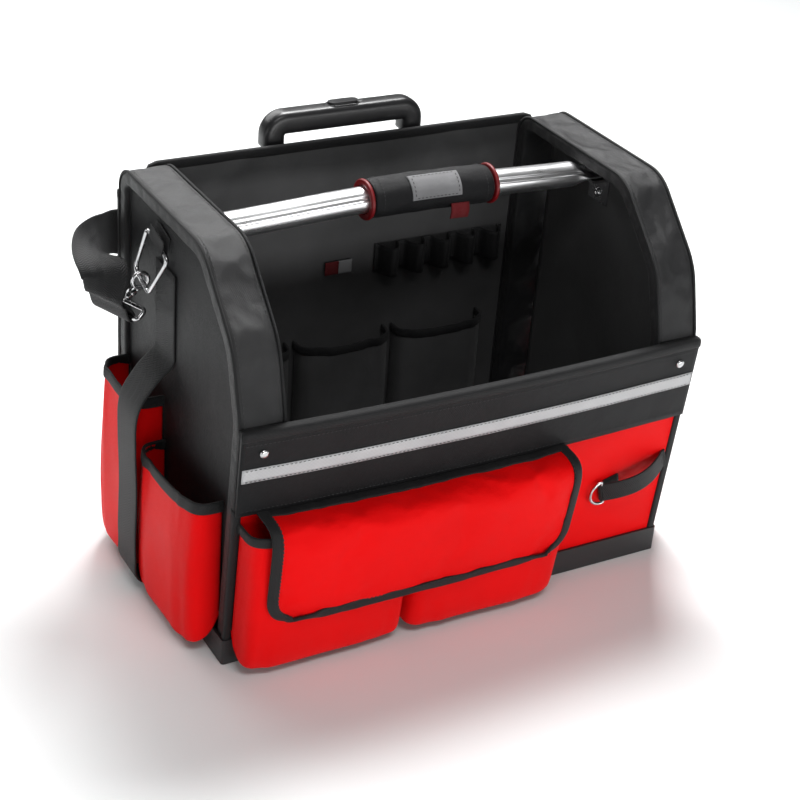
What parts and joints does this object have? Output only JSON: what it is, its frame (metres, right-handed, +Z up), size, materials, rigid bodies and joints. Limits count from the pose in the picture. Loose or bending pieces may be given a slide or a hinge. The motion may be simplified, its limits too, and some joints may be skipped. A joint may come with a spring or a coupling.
{
  "type": "wheeled tool bag",
  "caption": "Open-topped padded tool bag with end hoops, flapped outside pockets, a padded carrying bar, shoulder strap, moulded base and telescopic trolley with wheels.",
  "frame": {"origin": "middle of the base tray's underside, on the floor", "axes": "+X along the bag to the right seen from the front, +Y to the back where the trolley is, +Z up"},
  "size_m": [0.668, 0.4402, 0.4673],
  "materials": {
    "black_fabric": "coarse woven, matte",
    "red_fabric": "coated woven, slight sheen",
    "webbing": "ribbed webbing",
    "reflective_tape": "light grey reflective tape",
    "black_plastic": "fine moulded grain",
    "grip_padding": "padded sleeve",
    "red_trim": "bound edge",
    "grey_patch": "plain sewn patch",
    "aluminium": "satin",
    "plated_steel": "nickel plated",
    "tyre_rubber": "matte",
    "hub_plastic": "moulded"
  },
  "bodies": {
    "bag": {"base_tray": "black_plastic", "front_wall": "red_fabric", "back_wall": "black_fabric", "end_panel_left": "black_fabric", "end_panel_right": "black_fabric", "hoop_left": "black_fabric", "hoop_right": "black_fabric", "front_band": "black_fabric", "reflective_stripe": "reflective_tape", "band_rivet_left": "plated_steel", "band_rivet_right": "plated_steel", "front_pocket_left": "red_fabric", "front_pocket_right": "red_fabric", "front_flap": "red_fabric", "holster_strap": "webbing", "holster_ring": "plated_steel", "side_pocket_left_front": "red_fabric", "side_pocket_left_rear": "red_fabric", "side_pocket_right_front": "red_fabric", "side_pocket_right_rear": "red_fabric", "side_webbing_left": "webbing", "side_webbing_right": "webbing", "carry_ring_left": "plated_steel", "carry_ring_right": "plated_steel", "ring_tab_left": "webbing", "ring_tab_right": "webbing", "snap_hook_left": "plated_steel", "snap_hook_right": "plated_steel", "shoulder_strap": "webbing", "crossbar": "aluminium", "crossbar_bracket_left": "plated_steel", "crossbar_bracket_right": "plated_steel", "crossbar_grip": "grip_padding", "grip_trim_left": "red_trim", "grip_trim_right": "red_trim", "grip_patch": "grey_patch", "inner_pocket_left": "black_fabric", "inner_pocket_middle": "black_fabric", "inner_pocket_right": "black_fabric", "tool_loops": "webbing", "trolley_chassis": "black_plastic", "trolley_guide": "black_plastic", "outer_tube_left": "aluminium", "outer_tube_right": "aluminium", "wheel_housing_left": "black_plastic", "wheel_housing_right": "black_plastic", "axle_left": "plated_steel", "axle_right": "plated_steel"},
    "trolley_mid": {"mid_tube_left": "aluminium", "mid_tube_right": "aluminium"},
    "trolley_handle": {"inner_tube_left": "aluminium", "inner_tube_right": "aluminium", "trolley_grip": "black_plastic"},
    "handle_button": {"grip_button": "black_plastic"},
    "wheel_left": {"wheel_hub_left": "hub_plastic", "tyre_left": "tyre_rubber"},
    "wheel_right": {"wheel_hub_right": "hub_plastic", "tyre_right": "tyre_rubber"}
  },
  "joints": [
    {"name": "trolley_stage_one", "type": "slide", "parent": "bag", "child": "trolley_mid", "axis": [0, 0, 1], "range_m": [0, 0.26]},
    {"name": "trolley_stage_two", "type": "slide", "parent": "trolley_mid", "child": "trolley_handle", "axis": [0, 0, 1], "range_m": [0, 0.26]},
    {"name": "button_press", "type": "slide", "parent": "trolley_handle", "child": "handle_button", "axis": [0, 0, -1], "range_m": [0, 0.0025], "stiffness_N_per_m": 800},
    {"name": "wheel_left_spin", "type": "hinge", "parent": "bag", "child": "wheel_left", "pos_m": [-0.218, 0.1928, 0.0403], "axis": [1, 0, 0], "continuous": true},
    {"name": "wheel_right_spin", "type": "hinge", "parent": "bag", "child": "wheel_right", "pos_m": [0.218, 0.1928, 0.0403], "axis": [1, 0, 0], "continuous": true}
  ]
}
